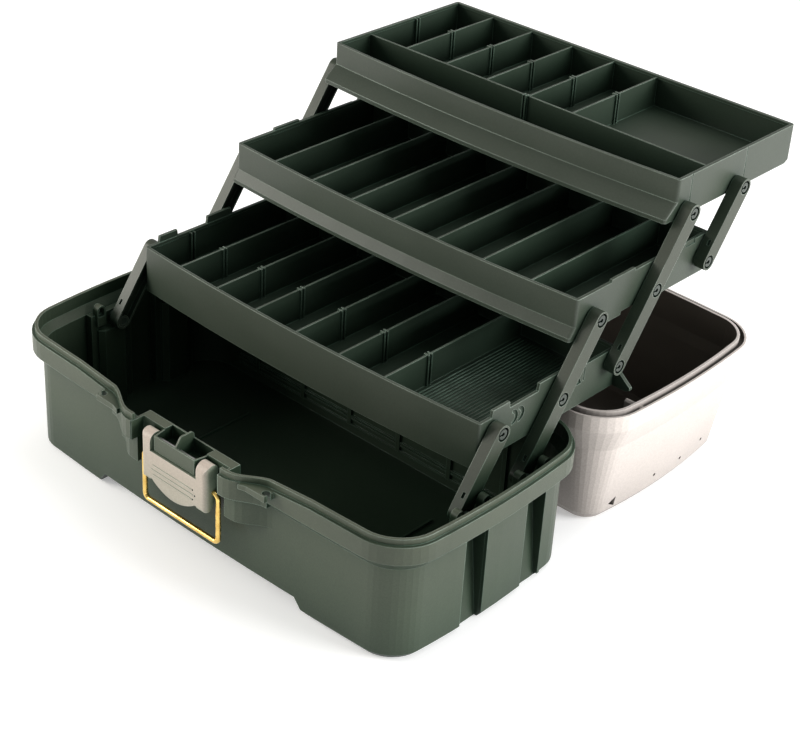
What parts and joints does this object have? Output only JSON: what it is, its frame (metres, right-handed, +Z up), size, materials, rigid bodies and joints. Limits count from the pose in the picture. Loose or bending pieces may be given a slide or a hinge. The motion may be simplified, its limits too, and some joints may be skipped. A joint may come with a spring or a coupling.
{
  "type": "cantilever tackle box",
  "caption": "Long tackle box with fold-out divided trays on parallel side arms, a turned-over lid, a draw latch with a wire bail and padlock shelves.",
  "frame": {"origin": "middle of the tub's underside, on the ground", "axes": "+X to the right along the length, +Y to the back, where the open lid and the trays lie, +Z up"},
  "size_m": [0.467, 0.5486, 0.2957],
  "materials": {
    "green_shell": "fine texture, grey-green",
    "green_tray": "fine texture, grey-green",
    "green_arm": "satin, grey-green",
    "green_pin": "satin, dark grey-green",
    "green_handle": "fine texture, grey-green",
    "beige_shell": "fine texture, warm beige",
    "sand_latch": "satin, sand",
    "brass_wire": "bright drawn wire",
    "steel_pin": "plain rod"
  },
  "bodies": {
    "tub": {"tub": "green_shell", "tub_pivot_pins": "green_pin", "latch_pin": "steel_pin", "hinge_pins": "steel_pin"},
    "lid": {"lid": "beige_shell", "handle_pins": "steel_pin"},
    "front_arms": {"front_arm_right": "green_arm", "front_arm_left": "green_arm"},
    "long_arms": {"long_arm_right": "green_arm", "long_arm_left": "green_arm"},
    "lower_tray": {"lower_tray": "green_tray", "lower_tray_pivot_pins": "green_pin"},
    "rear_arms": {"rear_arm_right": "green_arm", "rear_arm_left": "green_arm"},
    "middle_tray": {"middle_tray": "green_tray", "middle_tray_pivot_pins": "green_pin"},
    "upper_arms": {"upper_arm_right": "green_arm", "upper_arm_left": "green_arm"},
    "upper_tray": {"upper_tray": "green_tray", "upper_tray_pivot_pins": "green_pin"},
    "latch": {"latch_plate": "sand_latch"},
    "bail": {"latch_bail": "brass_wire"},
    "handle": {"handle": "green_handle"}
  },
  "joints": [
    {"name": "lid_hinge", "type": "hinge", "parent": "tub", "child": "lid", "pos_m": [0, 0.1237, 0.1172], "axis": [1, 0, 0], "range_deg": [0, 110]},
    {"name": "front_arm_pivot", "type": "hinge", "parent": "tub", "child": "front_arms", "pos_m": [0, -0.019, 0.096], "axis": [1, 0, 0], "range_deg": [0, 100]},
    {"name": "long_arm_pivot", "type": "hinge", "parent": "tub", "child": "long_arms", "pos_m": [0, 0.0555, 0.096], "axis": [1, 0, 0], "range_deg": [0, 100]},
    {"name": "lower_tray_pivot", "type": "hinge", "parent": "front_arms", "child": "lower_tray", "pos_m": [0, 0.02153, 0.15282], "axis": [1, 0, 0], "range_deg": [-100, 0]},
    {"name": "rear_arm_pivot", "type": "hinge", "parent": "lower_tray", "child": "rear_arms", "pos_m": [0, 0.17053, 0.15282], "axis": [1, 0, 0], "range_deg": [0, 100]},
    {"name": "middle_tray_pivot", "type": "hinge", "parent": "rear_arms", "child": "middle_tray", "pos_m": [0, 0.21107, 0.20965], "axis": [1, 0, 0], "range_deg": [-100, 0]},
    {"name": "upper_arm_pivot", "type": "hinge", "parent": "middle_tray", "child": "upper_arms", "pos_m": [0, 0.28557, 0.20965], "axis": [1, 0, 0], "range_deg": [0, 100]},
    {"name": "upper_tray_pivot", "type": "hinge", "parent": "upper_arms", "child": "upper_tray", "pos_m": [0, 0.3261, 0.26648], "axis": [1, 0, 0], "range_deg": [-100, 0]},
    {"name": "latch_hinge", "type": "hinge", "parent": "tub", "child": "latch", "pos_m": [0, -0.1262, 0.1024], "axis": [-1, 0, 0], "range_deg": [0, 60]},
    {"name": "bail_pivot", "type": "hinge", "parent": "latch", "child": "bail", "pos_m": [0, -0.1256, 0.082], "axis": [-1, 0, 0], "range_deg": [0, 158]},
    {"name": "handle_pivot", "type": "hinge", "parent": "lid", "child": "handle", "pos_m": [0, 0.2694, 0.0062], "axis": [1, 0, 0], "range_deg": [0, 95]}
  ],
  "couplings": [
    {"joint": "front_arm_pivot", "follows": "lid_hinge", "ratio": 0.90909},
    {"joint": "long_arm_pivot", "follows": "lid_hinge", "ratio": 0.90909},
    {"joint": "lower_tray_pivot", "follows": "lid_hinge", "ratio": -0.90909},
    {"joint": "rear_arm_pivot", "follows": "lid_hinge", "ratio": 0.90909},
    {"joint": "middle_tray_pivot", "follows": "lid_hinge", "ratio": -0.90909},
    {"joint": "upper_arm_pivot", "follows": "lid_hinge", "ratio": 0.90909},
    {"joint": "upper_tray_pivot", "follows": "lid_hinge", "ratio": -0.90909}
  ]
}
